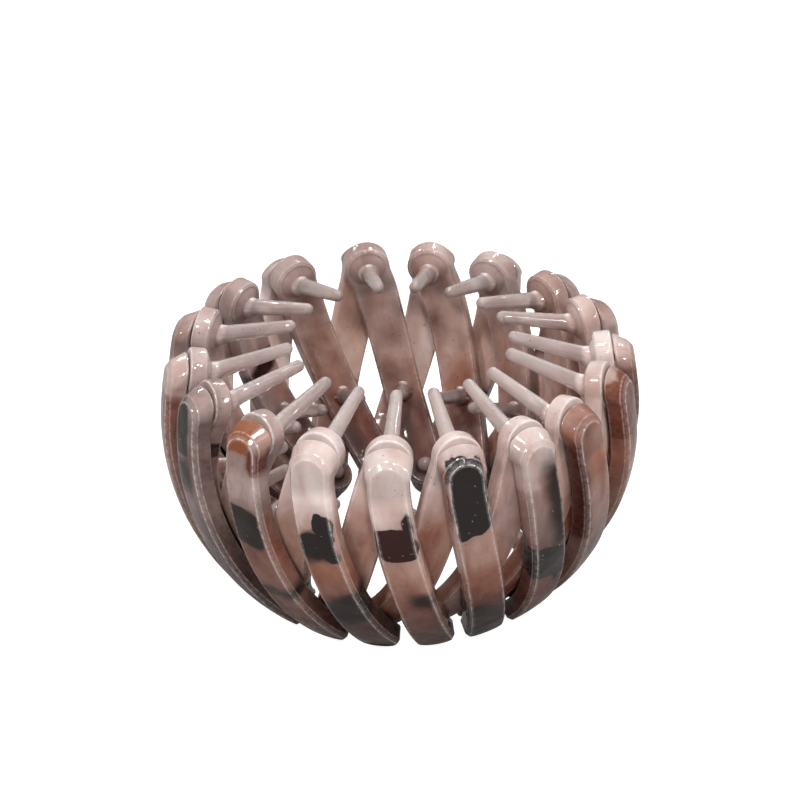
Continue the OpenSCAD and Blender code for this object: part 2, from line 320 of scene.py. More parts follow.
print("points in a loop:", loops(INNER, 45.0, np.ones(1), np.array([INNER["r_out"]]))[0].shape[1])

# %% [markdown]
# ## The section of a strip
# The section could be bevelled by a modifier, but its corners also have to know that they are corners.
# The pale lines along the strips' edges are painted highlight: each row of the section carries a painted
# highlight strength, which the material turns into a paler colour near the corners.

# %% The section's rows
# the outer face lies this much under the CAD model's sphere, so that no point passes the CAD model's box
UNDER_SPHERE = 0.005
# how far the section's corners are cut back before they are rounded, from the outer face to the inner one
CORNER_CUTS = [0.14, 0.2, 0.16, 0.16]
FACE_RIM = 0.55
FACE_SHARES = np.array([0.0, 0.2, 0.4, 0.6])


def rounded(corners, cuts, points=4):
    """Open line through corners, each inner corner cut back by its length and replaced by a bent arc: a
    quadratic curve from the first cut to the second with the corner as its control point."""
    out = [np.array([corners[0]], float)]
    for before, corner, after, cut in zip(corners[:-2], corners[1:-1], corners[2:], cuts):
        before, corner, after = (np.array(q, float) for q in (before, corner, after))
        start = corner + unit(before - corner) * cut
        stop = corner + unit(after - corner) * cut
        t = np.linspace(0, 1, points)[:, None]
        out.append((1 - t) ** 2 * start + 2 * t * (1 - t) * corner + t ** 2 * stop)
    out.append(np.array([corners[-1]], float))
    return np.concatenate(out)


def painted_highlight_near(rows, corners, reach=0.13):
    """Painted highlight of each row of a profile near an edge: exp(-(d / reach)^2) of the distance to
    the nearest corner, times that corner's weight. Corners are (first, second, weight)."""
    corners = np.array(corners, float)
    d = np.linalg.norm(rows[:, None, :] - corners[None, :, :2], axis=2)
    return (np.exp(-(d / reach) ** 2) * corners[:, 2]).max(axis=1)


def edge_profile(size, outer_bevel, inner_bevel, crown, weights):
    """Rows (share of half the width, r, painted highlight) from the middle of the outer face to the middle
    of the inner face. The outer face has a crown that falls off with the square of the share."""
    half = size["w_top"] / 2
    r_in, r_out = size["r_in"], size["r_out"]
    face = (half - outer_bevel[0], r_out)
    outer_side = (half, r_out - outer_bevel[1])
    inner_side = (half, r_in + inner_bevel)
    back = (half - inner_bevel, r_in)
    ends = (face[0] - FACE_RIM, r_out), (half * FACE_SHARES[-1], r_in)
    edge = rounded([ends[0], face, outer_side, inner_side, back, ends[1]], CORNER_CUTS)
    inward = FACE_SHARES * half
    rows = np.concatenate([np.stack([inward, np.full(4, r_out)], axis=1), edge,
                           np.stack([inward[2::-1], np.full(3, r_in)], axis=1)])
    # painted highlight, palest at the corners of the section
    glow = painted_highlight_near(rows, [(*corner, weight) for corner, weight
                            in zip((face, outer_side, inner_side, back), weights)])
    share = rows[:, 0] / half
    on_face = rows[:, 1] > (r_in + r_out) / 2
    return share, rows[:, 1] - np.where(on_face, UNDER_SPHERE + crown * share ** 2, 0), glow


# the last numbers are the painted highlight's strength at the face's edge, the two side corners and the
# back
OUTER_PROFILE = edge_profile(OUTER, BEVEL, 0.35, 0.10, (1.0, 0.55, 0.4, 0.4))
INNER_PROFILE = edge_profile(INNER, (0.4, 0.4), 0.45, 0.0, (0.6, 0.4, 0.6, 0.6))
print("rows in the outer strips' section:", len(OUTER_PROFILE[0]))

# %% The bar as a mesh
# points nearer than this, in metres, become one
MERGE_OVER = 2e-6


def grid_faces(rows, columns):
    """Quads of a grid whose columns close on themselves, as four index numbers each."""
    row, col = np.meshgrid(np.arange(rows - 1), np.arange(columns), indexing="ij")
    nxt = (col + 1) % columns
    quads = [row * columns + col, row * columns + nxt, (row + 1) * columns + nxt, (row + 1) * columns + col]
    return np.stack(quads, axis=-1).reshape(-1, 4)


def add_attribute(mesh, name, kind, values):
    """Stores one value or vector per point on the mesh, for the material to read."""
    attribute = mesh.attributes.new(name, kind, "POINT")
    field = "vector" if kind == "FLOAT_VECTOR" else "value"
    attribute.data.foreach_set(field, np.ravel(values).astype(np.float32))


def make_mesh(name, points, glow):
    """A mesh from a grid of points in millimetres round the bowl's centre, moved to the frame's metres.
    Each point carries its painted highlight. The doubled points of middle lines and poles are merged."""
    mesh = bpy.data.meshes.new(name)
    flat = (points.reshape(-1, 3) + np.array([0, 0, CENTRE_Z])) * MM
    mesh.from_pydata(flat, [], grid_faces(*points.shape[:2]).tolist())
    add_attribute(mesh, "glow", "FLOAT", glow)
    work = bmesh.new()
    work.from_mesh(mesh)
    bmesh.ops.remove_doubles(work, verts=work.verts, dist=MERGE_OVER)
    bmesh.ops.dissolve_degenerate(work, edges=work.edges, dist=MERGE_OVER / 20)
    bmesh.ops.recalc_face_normals(work, faces=work.faces)
    work.to_mesh(mesh)
    work.free()
    return mesh


def bar_mesh(name, line, size, s_end, profile):
    """The bar of one strip: its section's rows carried round the loops and placed on the line."""
    share, r, glow = profile
    s, u = loops(size, s_end, share, r)
    points = place(line, s, u, np.repeat(r[:, None], s.shape[1], axis=1))
    return make_mesh(name, points, np.repeat(glow[:, None], s.shape[1], axis=1))


print("faces of a grid of 3 rows and 4 columns:", len(grid_faces(3, 4)))

# %% [markdown]
# ## Round features
# Knobs, teeth, pins and pockets are turned shapes: a profile of (radius, height) carried once round an
# axis. Blender's Screw modifier could turn them too, but the arrays also carry the painted highlight. A
# tooth is a slim cone with a ball end. Where it leaves the plastic the mould has a small fillet, so its
# radius swells there with the square of the distance left. The two halves of the mould meet along a
# tooth's sides. A tooth gets a painted highlight as a bright streak along its top, and a fainter one along
# those sides, placed by the side each point faces.

# %% Turned shapes
def painted_tooth_highlight(ring):
    """Painted highlight round a tooth, by how high each point of the ring stands as a share of the highest:
    a top streak from 0.9 up, full at 0.98, and a fainter one along the sides where the share is within 0.2
    of zero."""
    rise = ring[:, 2] / ring[:, 2].max()
    return np.clip((rise - 0.9) / 0.08, 0, 1) * 1.7 + np.clip(1 - np.abs(rise) / 0.2, 0, 1) * 0.8


def turned(name, rows, origin, axis, sides=32, corners=(), painted_streaks=False):
    """Surface of revolution: each (radius, height) row is a circle round the axis from origin."""
    rows = np.asarray(rows, float)
    axis = unit(axis)
    helper = np.array([0.0, 0.0, 1.0]) if abs(axis[2]) < 0.9 else np.array([1.0, 0.0, 0.0])
    x = unit(np.cross(helper, axis))
    y = np.cross(axis, x)
    angle = np.arange(sides) * 2 * np.pi / sides
    ring = np.cos(angle)[:, None] * x + np.sin(angle)[:, None] * y
    points = origin + rows[:, 1][:, None, None] * axis + rows[:, 0][:, None, None] * ring
    # painted highlight: paler at the given corners, and on teeth a streak along the top and the sides
    glow = np.zeros(points.shape[:2])
    if corners:
        glow += painted_highlight_near(rows, corners)[:, None]
    if painted_streaks:
        glow += painted_tooth_highlight(ring)[None] * (rows[:, 1] > 0)[:, None]
    return make_mesh(name, points, glow)


def tooth_rows(length, root_r=1.65, tip_r=1.15, flare=0.45, flare_l=2.0):
    """Cone with a ball end: radius falls evenly from root to tip, plus flare * (1 - h / flare_l)^2 near
    the root, and the last tip_r of its length follows a circle. The foot is 1 mm deep in the plastic."""
    h = np.concatenate([np.linspace(-1.0, flare_l, 8), np.linspace(flare_l, length - tip_r, 9)[1:]])
    r = root_r + (tip_r - root_r) * np.clip(h / (length - tip_r), 0, 1)
    r = r + flare * np.clip(1 - h / flare_l, 0, 1) ** 2
    turn = np.linspace(0, np.pi / 2, 8)[1:]
    ball = np.stack([tip_r * np.cos(turn), length - tip_r + tip_r * np.sin(turn)], axis=1)
    return np.concatenate([[[0, -1.0]], np.stack([r, h], axis=1), ball])


print("rows in a 17 mm tooth:", len(tooth_rows(17.0)))

# %% The inner knob
BUTTON_R = INNER["knob_d"] / 2
BUTTON_RIM, DOME_ROUND = 0.6, 0.55
# the two places of painted highlight at the knob's edges, seen in the middle of their roundings
BUTTON_HIGHLIGHT_CORNERS = [(BUTTON_R - 0.17, KNOB_FACE_R - 0.17, 1.8), (BUTTON_R - 0.25, 38.0, 1.3)]


def button_rows():
    """The inner knob, as (radius, distance from the bowl's centre plane): a flat outer face with a
    rounded rim, a short straight side, and a domed inner face on the ball c - sqrt(R^2 - rho^2), with a
    rounded corner."""
    centre = DOME_POLE_R + DOME_BALL_R
    rho = np.linspace(BUTTON_R - 0.8, 0, 12)
    dome = np.stack([rho, centre - np.sqrt(DOME_BALL_R ** 2 - rho ** 2)], axis=1)
    corner = centre - np.sqrt(DOME_BALL_R ** 2 - BUTTON_R ** 2)
    rows = rounded([(0.0, KNOB_FACE_R), (BUTTON_R, KNOB_FACE_R), (BUTTON_R, corner), tuple(dome[0])],
                   [BUTTON_RIM, DOME_ROUND], points=6)
    return np.concatenate([rows[:-1], dome])


print("rows in an inner knob:", len(button_rows()))

# %% Snap pins and their pockets
PIN_R, HEAD_R = 1.5, 1.85
NECK_R, ROOM_R = 1.7, 2.05
# a pin ends this much short of its pocket's floor
PIN_SHORT = 0.25


def pin_rows(deep):
    """A snap pin in a pocket as deep as given: a shank, a wider head with slanted sides, and its end."""
    top = OUTER["r_in"] + deep - PIN_SHORT
    return [(0, 39.0), (PIN_R, 39.0), (PIN_R, top - 0.95), (HEAD_R, top - 0.7), (HEAD_R, top - 0.5),
            (PIN_R, top), (0, top)]


def pocket_rows(deep):
    """The pocket that a pin turns in: a neck that the head snaps through, then a wider room."""
    top = OUTER["r_in"] + deep
    return [(0, 40.0), (NECK_R, 40.0), (NECK_R, top - 1.3), (ROOM_R, top - 1.1), (ROOM_R, top), (0, top)]


print(f"play round a pin: {NECK_R - PIN_R:.2f} mm")

# %% [markdown]
# ## Joining and cutting
# On the real clip a strip, its knob, its teeth and its pins are one shot of plastic, so their meshes are
# fused. A light in one then passes into the other, and no inner wall shows through the milky plastic.

# %% Fusing pieces of one moulding
def combined(base, tools, operation):
    """The base mesh with each tool mesh added or cut away by Blender's manifold solver."""
    body = bpy.data.objects.new("work_body", base)
    bpy.context.scene.collection.objects.link(body)
    helpers = []
    for mesh in tools:
        helper = bpy.data.objects.new("work_tool", mesh)
        bpy.context.scene.collection.objects.link(helper)
        helpers.append(helper)
        step = body.modifiers.new("combine", "BOOLEAN")
        step.operation = operation
        step.solver = "MANIFOLD"
        step.object = helper
    result = bpy.data.meshes.new_from_object(body.evaluated_get(bpy.context.evaluated_depsgraph_get()))
    for helper in [body] + helpers:
        bpy.data.objects.remove(helper)
    return result


def vertex_rows(mesh):
    """The mesh's points as rows, in millimetres round the bowl's centre."""
    flat = np.empty(len(mesh.vertices) * 3, dtype=np.float32)
    mesh.vertices.foreach_get("co", flat)
    return flat.reshape(-1, 3) / MM - np.array([0, 0, CENTRE_Z])


def strip_places(line, points):
    """For each point, (s, u, r): the line's nearest distance, and the offsets across and out."""
    s_rows, p, n, a = line["s"][::2], line["p"][::2], line["n"][::2], line["a"][::2]
    nearest = np.argmin(((points[:, None, :] - p[None]) ** 2).sum(axis=2), axis=1)
    offset = points - p[nearest]
    u = (offset * a[nearest]).sum(axis=1)
    r = line["r_ref"] + (offset * n[nearest]).sum(axis=1)
    return np.stack([s_rows[nearest], u, r], axis=1)


first_line = outer_line(0)
some_place = strip_places(first_line, first_line["p"][30:31])[0]
print("(s, u, r) of a point on the first line:", some_place.round(2))

# %% [markdown]
# ## Where the colours lie
# Swirled plastic is made by letting pellets of a dark and a milky colour meet in the mould before they
# have mixed. Each strip so gets soft drifts from milky to brown, some of them greyish and some rusty, and
# a few dark patches whose edge is sharp where the melt met cold steel and soft where it still flowed. The
# two tables place them along each strip from its knob. Strips that the tables leave out draw theirs from a
# seeded row of random numbers, in the same sizes.
# Toward the low end the drifts grow darker and browner: partly the plastic's own colour, and partly painted
# shade on the lower parts and in the bowl's hollow.

# %% Table of the soft drifts
# strip kind and number: (mm from the knob, warmth 0 milky to 1 deep brown, tint 0 grey to 1 rust)
# the rows darken toward the low end: partly the plastic's own brown, partly painted shade
DRIFT = {
    ("outer", 9): [(-4, 0.3, 0.1), (10, 0.5, 0.2), (52, 0.65, 0.3)],
    ("outer", 10): [(-4, 0.15, 0.3), (3, 0.2, 0.5), (5, 0.65, 0.9), (12, 0.6, 0.8), (25, 0.6, 0.3),
                    (52, 0.8, 0.4)],
    ("outer", 11): [(-4, 0.3, 0.1), (10, 0.7, 0.1), (16, 0.6, 0.05), (30, 0.8, 0.2), (52, 0.85, 0.3)],
    ("outer", 12): [(-4, 0.3, 0.8), (3, 0.36, 0.3), (9, 0.45, 0.15), (12, 0.55, 0.0), (21, 0.6, 0.9),
                    (26, 0.6, 0.8), (33, 0.62, 0.6), (52, 0.7, 0.6)],
    ("outer", 13): [(-4, 0.08, 0.3), (9, 0.12, 0.3), (19, 0.4, 0.9), (24, 0.5, 0.95), (28, 0.6, 0.8),
                    (38, 0.88, 0.6), (52, 0.92, 0.6)],
    ("outer", 14): [(-4, 0.06, 0.2), (9, 0.12, 0.4), (19, 0.36, 0.7), (25, 0.46, 0.7), (31, 0.66, 0.8),
                    (45, 0.8, 0.8), (52, 0.85, 0.8)],
    ("outer", 15): [(-4, 0.1, 0.4), (14, 0.36, 0.5), (20, 0.42, 0.6), (25, 0.54, 0.8), (29, 0.68, 0.9),
                    (34, 0.9, 0.8), (52, 1.0, 0.7)],
    ("outer", 16): [(-4, 0.14, 0.3), (4, 0.2, 0.2), (8, 0.48, 0.15), (18, 0.55, 0.2), (22, 0.65, 0.3),
                    (30, 0.75, 0.8), (52, 0.8, 0.8)],
    ("outer", 17): [(-4, 0.45, 0.8), (8, 0.5, 0.9), (12, 0.45, 0.6), (18, 0.45, 0.3), (26, 0.65, 0.5),
                    (52, 0.75, 0.7)],
    ("outer", 18): [(-2, 0.2, 0.4), (1, 0.6, 0.9), (10, 0.62, 0.9), (20, 0.6, 0.7), (52, 0.7, 0.6)],
    ("outer", 1): [(-2, 0.2, 0.3), (2, 0.62, 0.8), (52, 0.65, 0.7)],
}
# the slow rises of the strips that the table leaves out. OUTER_RISE is pale in its middle, painted light as
# if the outer strips at the back were lit through; BACK_RISE is darker than FRONT_RISE, painted shade in
# the hollow
OUTER_RISE = [(-4, 0.42, 0.1), (1, 0.25, 0.2), (8, 0.1, 0.8), (20, 0.12, 0.95), (34, 0.36, 0.6),
              (52, 0.7, 0.5)]
FRONT_RISE = [(-4, 0.08, 0.1), (6, 0.2, 0.3), (16, 0.38, 0.75), (30, 0.46, 0.8), (52, 0.62, 0.6)]
BACK_RISE = [(-4, 0.28, 0.0), (8, 0.32, 0.2), (20, 0.42, 0.35), (32, 0.64, 0.3), (52, 0.84, 0.4)]
print(len(DRIFT), "strips have their own drifts")

# %% Table of the dark patches
# strip kind and number, from and to in mm from the knob, left and right edge in mm across, slant in mm
# per mm, redness from 0 black over maroon to 1 amber, softness of the edge in mm. An edge past the
# strip's own side, which is at 3.8 mm, lets the patch run on down that side
DARK = [
    ("outer", 11, -1.0, 10.0, -3.0, 1.6, 0.0, 0.1, 0.2),
    ("outer", 11, 10.0, 16.0, -4.5, 1.5, 0.0, 0.3, 1.4),
    ("outer", 12, -4.0, 2.5, -4.5, 2.0, 0.0, 1.0, 0.3),
    ("outer", 12, 0.5, 6.0, 1.5, 4.5, 0.0, 0.8, 0.3),
    ("outer", 12, 12.5, 20.5, -4.5, 3.3, 0.3, 0.1, 0.3),
    ("outer", 12, 30.0, 32.5, -4.5, 4.5, 0.2, 0.4, 1.2),
    ("outer", 13, 9.7, 19.8, -0.3, 3.5, 0.0, 0.05, 0.0),
    ("outer", 13, 13.0, 19.8, -3.6, 2.5, 0.0, 0.05, 0.4),
    ("outer", 13, 28.5, 37.0, -4.5, 4.5, -0.3, 0.35, 1.4),
    ("outer", 14, 11.3, 18.6, -3.6, 3.5, 0.1, 0.6, 0.0),
    ("outer", 14, 8.3, 13.5, 1.5, 3.5, 0.0, 0.5, 0.1),
    ("outer", 14, 27.0, 31.0, -0.5, 4.5, 0.2, 0.5, 1.2),
    ("outer", 15, -1.6, 13.8, -3.3, 3.5, -0.1, 0.03, 0.0),
    ("outer", 15, 0.0, 12.0, -4.5, -3.2, 0.0, 0.8, 0.5),
    ("outer", 15, 32.0, 50.0, -4.5, 4.5, 0.5, 0.5, 2.2),
    ("outer", 16, 21.0, 29.5, -4.5, 4.5, 0.4, 0.1, 0.2),
    ("outer", 16, 27.0, 33.0, 0.7, 2.4, 0.0, 0.2, 0.2),
    ("outer", 16, 3.0, 22.0, 0.2, 7.9, 0.0, 0.4, 1.5),
    ("outer", 17, 2.0, 25.0, -8.5, -2.8, 0.0, 0.75, 0.5),
    ("outer", 18, -2.0, 9.5, -4.5, 4.5, 0.1, 0.85, 0.3),
]
print(len(DARK), "dark patches in the table")

# %% From the tables to each point
RANDOM = np.random.default_rng(18)
# a strip left out of the tables has a patch of its own with this chance
PATCH_CHANCE = {"outer": 0.8, "inner": 0.3}
PATCH_LENGTH = {"outer": (3, 9), "inner": (2, 5)}
# the signed distance is kept within this many mm
FAR_OFF = 6.0
# a patch wider than the strip isn't faded at the strip's sides, so some millimetres are added there
WIDE_PATCH, NOT_FADED = 8, 4.0


def drift_at(kind, number, s):
    """Warmth and tint along a strip: straight lines between the table's rows, or a random slow rise."""
    rows = DRIFT.get((kind, number))
    if rows is None:
        shade, turn = RANDOM.uniform(-0.06, 0.06), RANDOM.uniform(-0.15, 0.25)
        at_front = number > 12 or number == 1
        # the inner strips at the back take the darker BACK_RISE, painted shade in the bowl's hollow
        rows = OUTER_RISE if kind == "outer" else FRONT_RISE if at_front else BACK_RISE
        rows = [(at, warmth + shade, np.clip(tint + turn, 0, 1)) for at, warmth, tint in rows]
    at, warmth, tint = np.array(rows).T
    return np.interp(s, at, warmth), np.interp(s, at, tint)


def darkness_at(kind, number, s, u):
    """Signed distance in mm into the nearest dark patch (inside is positive), and that patch's redness
    and softness. A patch is a box in (s - slant * u, u) with corners rounded over 1 mm: the smooth least
    of the distances along and across is taken."""
    rows = [row[2:] for row in DARK if row[:2] == (kind, number)]
    if not rows and (kind, number) not in DRIFT and RANDOM.random() < PATCH_CHANCE[kind]:
        start = RANDOM.uniform(8, 38)
        size = RANDOM.uniform(*PATCH_LENGTH[kind])
        rows = [(start, start + size, -4.5, 4.5, RANDOM.uniform(-1, 1),
                 0.8 * RANDOM.random(), RANDOM.random())]
    inside = np.full(len(s), -FAR_OFF)
    red = np.full(len(s), 0.5)
    soft = np.zeros(len(s))
    for low_s, high_s, left, right, slant, redness, softness in rows:
        slanted = s - slant * u
        along = np.minimum(slanted - low_s, high_s - slanted)
        across = np.minimum(u - left, right - u) + (NOT_FADED if right - left > WIDE_PATCH else 0.0)
        depth = -smooth_max(-along, -across, 1.0)
        red = np.where(depth > inside, redness, red)
        soft = np.where(depth > inside, softness, soft)
        inside = np.maximum(inside, depth)
    return np.clip(inside, -FAR_OFF, FAR_OFF), red, soft


print("warmth of strip 14, 20 mm from its knob:", float(drift_at("outer", 14, 20.0)[0].round(2)))

# %% [markdown]
# ## The plastic
# The real clip is moulded from a clear styrene plastic with milky and brown colour swirled in. Such a
# plastic is glossy from the polished mould and lets light some millimetres in. Styrene's IOR is near
# 1.57. With it the dark patches mirrored too much of the pale room, so 1.5 is used. One image texture
# could hold the swirls, but noise in millimetres along the strip stays sharp at any distance and fits
# every strip.

# %% Colours and a node helper
def srgb(code):
    """Hex colour to linear RGB with alpha 1: each channel is (c + 0.055) / 1.055 to the power 2.4, or
    c / 12.92 where it is under 0.04045."""
    values = [int(code[k:k + 2], 16) / 255 for k in (1, 3, 5)]
    return tuple(c / 12.92 if c <= 0.04045 else ((c + 0.055) / 1.055) ** 2.4 for c in values) + (1.0,)


def add(tree, kind, settings=None, **inputs):
    """Adds a node of a kind such as Math or Mix, sets its own settings, and sets or links its inputs. An
    input is given by its name, with _ for a space, or as i and its number. The setting stops fills a ramp
    with (position, hex colour) pairs."""
    node = tree.nodes.new("ShaderNode" + kind)
    for key, value in (settings or {}).items():
        if key == "stops":
            for _ in value[2:]:
                node.color_ramp.elements.new(1.0)
            for element, (position, code) in zip(node.color_ramp.elements, value):
                element.position, element.color = position, srgb(code)
        else:
            setattr(node, key, value)
    for key, value in inputs.items():
        socket = node.inputs[int(key[1:])] if key[1:].isdigit() else node.inputs[key.replace("_", " ")]
        if isinstance(value, bpy.types.NodeSocket):
            tree.links.new(value, socket)
        else:
            socket.default_value = value
    return node


GREY_DRIFT = [(0.0, "#E8DAD6"), (0.25, "#C4ADA8"), (0.5, "#8D7670"), (0.72, "#5F4A46"), (1.0, "#2C201E")]
RUST_DRIFT = [(0.0, "#E6D2CA"), (0.25, "#C69F8E"), (0.5, "#9A6450"), (0.72, "#66301F"), (1.0, "#290D06")]
INK = [(0.0, "#1E1614"), (0.3, "#180A07"), (0.6, "#2C0803"), (0.8, "#5A2414"), (1.0, "#7E4524")]
print("milky end of the grey drift, linear:", [round(c, 3) for c in srgb(GREY_DRIFT[0][1])])

# %% [markdown]
# The drifts come first. The warmth that each point carries is moved up and down by clouds of 7 mm and
# wisps of 2 mm, which are longer along the flow of the plastic, and picks a colour from a greyish and a
# rusty ramp. The tint, moved by the same clouds, says how much of each is seen.

# %% Swirled styrene: the drifts
PLASTIC = bpy.data.materials.new("swirled_styrene")
PLASTIC.use_nodes = True
tree = PLASTIC.node_tree
tree.nodes.clear()
stored = {name: add(tree, "Attribute", {"attribute_name": name}).outputs["Fac"]
          for name in ("warmth", "tint", "dark", "red", "soft", "clear", "glow")}
where = add(tree, "Attribute", {"attribute_name": "place"}).outputs["Vector"]
flow = add(tree, "Mapping", None, Vector=where, Scale=(0.55, 1.0, 0.8)).outputs["Vector"]
clouds = add(tree, "TexNoise", None, Vector=flow, Scale=0.14, Detail=2.0, Roughness=0.5,
             Distortion=0.6)
wisps = add(tree, "TexNoise", None, Vector=flow, Scale=0.5, Detail=2.0, Roughness=0.5,
            Distortion=0.8)
shade = add(tree, "Math", {"operation": "MULTIPLY_ADD"}, i0=clouds.outputs["Fac"], i1=0.55,
            i2=stored["warmth"])
shade = add(tree, "Math", {"operation": "MULTIPLY_ADD"}, i0=wisps.outputs["Fac"], i1=0.16,
            i2=shade.outputs[0])
shade = add(tree, "Math", {"operation": "SUBTRACT", "use_clamp": True}, i0=shade.outputs[0], i1=0.34)
hue = add(tree, "SeparateColor", None, Color=clouds.outputs["Color"]).outputs["Green"]
hue = add(tree, "Math", {"operation": "MULTIPLY_ADD"}, i0=hue, i1=1.4, i2=stored["tint"])
hue = add(tree, "Math", {"operation": "SUBTRACT", "use_clamp": True}, i0=hue.outputs[0], i1=0.7)
grey = add(tree, "ValToRGB", {"stops": GREY_DRIFT}, Fac=shade.outputs[0])
rust = add(tree, "ValToRGB", {"stops": RUST_DRIFT}, Fac=shade.outputs[0])
body = add(tree, "Mix", {"data_type": "RGBA"}, i0=hue.outputs[0], i6=grey.outputs["Color"],
           i7=rust.outputs["Color"])
print(len(tree.nodes), "nodes for the drifts")

# %% [markdown]
# A dark patch is cut from the signed distance, so its edge stays sharp however coarse the mesh is. The
# edge wanders by about half a millimetre over some 3 mm, with finer frays on it, and a brown halo lies
# round it where the two colours had begun to mix.

# %% Swirled styrene: the dark patches
bends = add(tree, "TexNoise", None, Vector=where, Scale=0.3, Detail=0.5, Distortion=0.3)
frays = add(tree, "TexNoise", None, Vector=where, Scale=1.4, Detail=2.0)
edge = add(tree, "Math", {"operation": "MULTIPLY_ADD"}, i0=bends.outputs["Fac"], i1=1.8,
           i2=stored["dark"])
edge = add(tree, "Math", {"operation": "MULTIPLY_ADD"}, i0=frays.outputs["Fac"], i1=0.3,
           i2=edge.outputs[0])
inside = add(tree, "Math", {"operation": "SUBTRACT"}, i0=edge.outputs[0], i1=1.05)
spread = add(tree, "Math", {"operation": "ADD"}, i0=stored["soft"], i1=0.12)
depth = add(tree, "Math", {"operation": "DIVIDE"}, i0=inside.outputs[0], i1=spread.outputs[0])
patch = add(tree, "MapRange", {"interpolation_type": "SMOOTHSTEP"}, Value=depth.outputs[0],
            From_Min=-1.0, From_Max=1.0)
halo = add(tree, "MapRange", {"interpolation_type": "SMOOTHSTEP"}, Value=inside.outputs[0],
           From_Min=-2.6, From_Max=0.3, To_Max=0.3)
ink = add(tree, "ValToRGB", {"stops": INK}, Fac=stored["red"])
stained = add(tree, "Mix", {"data_type": "RGBA"}, i0=halo.outputs["Result"], i6=body.outputs[2],
              i7=srgb("#6A4436"))
colour = add(tree, "Mix", {"data_type": "RGBA"}, i0=patch.outputs["Result"], i6=stained.outputs[2],
             i7=ink.outputs["Color"])
print(len(tree.nodes), "nodes with the patches")

# %% [markdown]
# Bubbles show pale on the dark patches, and pigment crumbs show dark on the pale body. They are a tenth
# of a millimetre on the real clip, and twice as large here to show. The pale lines of the edges and teeth
# are painted highlight, from the stored painted highlight, broken up by the frays.

# %% Swirled styrene: bubbles, crumbs and painted highlights
grains = add(tree, "TexVoronoi", None, Vector=where, Scale=0.9)
chance = add(tree, "SeparateColor", None, Color=grains.outputs["Color"])
dot = add(tree, "MapRange", None, Value=grains.outputs["Distance"], From_Min=0.16, From_Max=0.09)
few = add(tree, "Math", {"operation": "GREATER_THAN"}, i0=chance.outputs["Red"], i1=0.78)
dot = add(tree, "Math", {"operation": "MULTIPLY"}, i0=dot.outputs["Result"], i1=few.outputs[0])
dot = add(tree, "Math", {"operation": "MULTIPLY"}, i0=dot.outputs[0], i1=0.6)
grain = add(tree, "Mix", {"data_type": "RGBA"}, i0=patch.outputs["Result"], i6=srgb("#4B2C24"),
            i7=srgb("#A89A94"))
colour = add(tree, "Mix", {"data_type": "RGBA"}, i0=dot.outputs[0], i6=colour.outputs[2],
             i7=grain.outputs[2])
# painted highlight: the colour is mixed toward near white along edges and tooth streaks
broken = add(tree, "MapRange", None, Value=frays.outputs["Fac"], From_Min=0.38, From_Max=0.56,
             To_Min=0.2, To_Max=0.55)
painted_highlight_share = add(tree, "Math", {"operation": "MULTIPLY", "use_clamp": True}, i0=stored["glow"],
          i1=broken.outputs["Result"])
colour = add(tree, "Mix", {"data_type": "RGBA"}, i0=painted_highlight_share.outputs[0], i6=colour.outputs[2],
             i7=srgb("#F4ECE8"))
print(len(tree.nodes), "nodes with bubbles, crumbs and edges")

# %% [markdown]
# The polished mould leaves slow waves some 4 mm long, and the flow leaves fine ripples under a
# millimetre, which show most on the clear teeth. The teeth let light through, as the attribute clear
# says, while a dark patch stays closed. Light that enters the milky body comes out about a millimetre
# off, and reddest.

# %% Swirled styrene: relief, gloss and depth
waves = add(tree, "TexNoise", None, Vector=where, Scale=0.25, Detail=1.0)
ripples = add(tree, "TexNoise", None, Vector=where, Scale=1.3, Detail=2.0)
ripple_share = add(tree, "Math", {"operation": "MULTIPLY_ADD"}, i0=stored["clear"], i1=0.12, i2=0.08)
height = add(tree, "Math", {"operation": "MULTIPLY_ADD"}, i0=ripples.outputs["Fac"],
             i1=ripple_share.outputs[0], i2=waves.outputs["Fac"])
bump = add(tree, "Bump", None, Height=height.outputs[0], Strength=0.7, Distance=0.0004)
shine = add(tree, "MapRange", None, Value=ripples.outputs["Fac"], From_Min=0.3, From_Max=0.7,
            To_Min=0.04, To_Max=0.11)
open_share = add(tree, "Math", {"operation": "SUBTRACT"}, i0=1.0, i1=patch.outputs["Result"])
clear = add(tree, "Math", {"operation": "MULTIPLY"}, i0=stored["clear"], i1=open_share.outputs[0])
plastic = add(tree, "BsdfPrincipled", None, Base_Color=colour.outputs[2],
              Roughness=shine.outputs["Result"], IOR=1.5, Normal=bump.outputs["Normal"],
              Specular_IOR_Level=0.4, Subsurface_Weight=0.3, Subsurface_Radius=(1.0, 0.62, 0.52),
              Subsurface_Scale=0.001, Transmission_Weight=clear.outputs[0])
add(tree, "OutputMaterial", None, Surface=plastic.outputs["BSDF"])
print(PLASTIC.name, "has", len(tree.nodes), "nodes")

# %% [markdown]
# ## The strips
# Each piece stands for the CAD node of the same name and keeps to the same line, thickness and width. The
# outer strips get the pockets that their pins snap into, open toward the inside as on the real part.

# %% Finish a piece
SHARP_OVER = np.radians(38)
# what lies this near to the bowl's centre is tooth, over a soft border
TOOTH_UNDER_R, TOOTH_BORDER = 36.6, 1.6
# how clear the teeth are, and the thin top of a strip, which clouds over with the distance from the knob
TOOTH_CLEAR, TOP_CLEAR = 0.7, 0.3
TOP_CLOUDED_AT, TOP_CLOUDS_OVER = 6.5, 5
# strips lie this far apart in the noise, so that no two draw the same stretch of it
NOISE_STEP, INNER_NOISE_STEP = 83.0, 7.0


